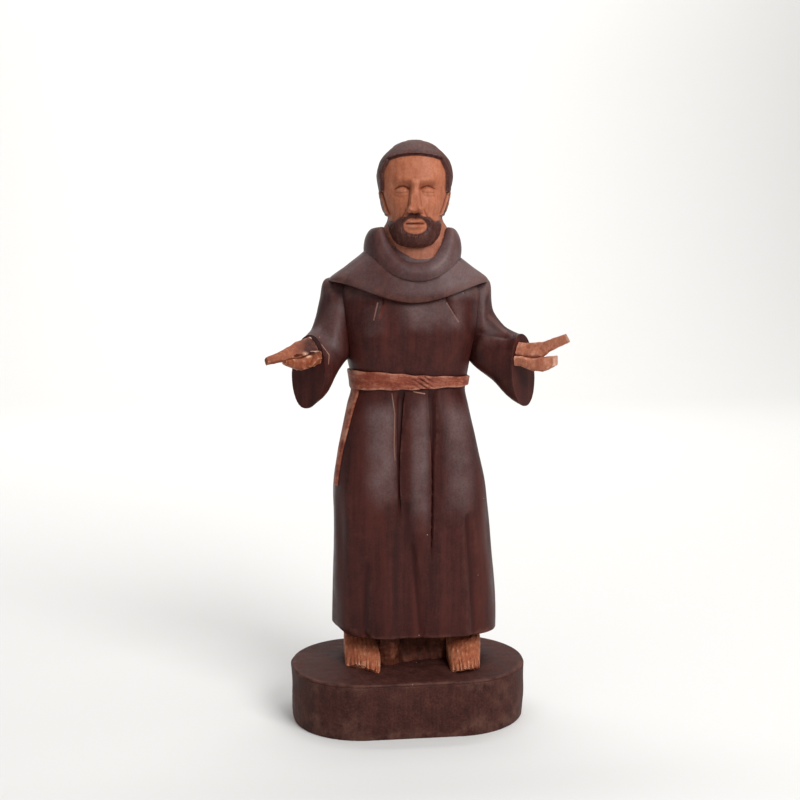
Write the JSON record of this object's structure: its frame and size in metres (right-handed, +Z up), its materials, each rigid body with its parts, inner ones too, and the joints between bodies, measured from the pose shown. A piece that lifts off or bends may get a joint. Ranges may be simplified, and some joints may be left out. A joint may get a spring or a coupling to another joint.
{
  "type": "saint statue",
  "caption": "Hand-carved wooden friar saint with open arms, dark stained habit, rope girdle and bare feet, cut in one block with its oval plinth, about 250 mm tall.",
  "frame": {"origin": "Middle of the flat underside of the plinth, where the statue stands.", "axes": "+Z up, +Y to the figure's back, so it faces -Y, and +X to the figure's left (the viewer's right)."},
  "size_m": [0.1257, 0.0662, 0.2499],
  "materials": {
    "stained_wood": "red-brown stain and satin varnish over carved cedar",
    "bare_wood": "knife-cut cedar, lightly varnished"
  },
  "bodies": {
    "root": {"figure_and_plinth": "stained_wood", "right_hand": "bare_wood", "left_hand": "bare_wood"}
  },
  "joints": []
}
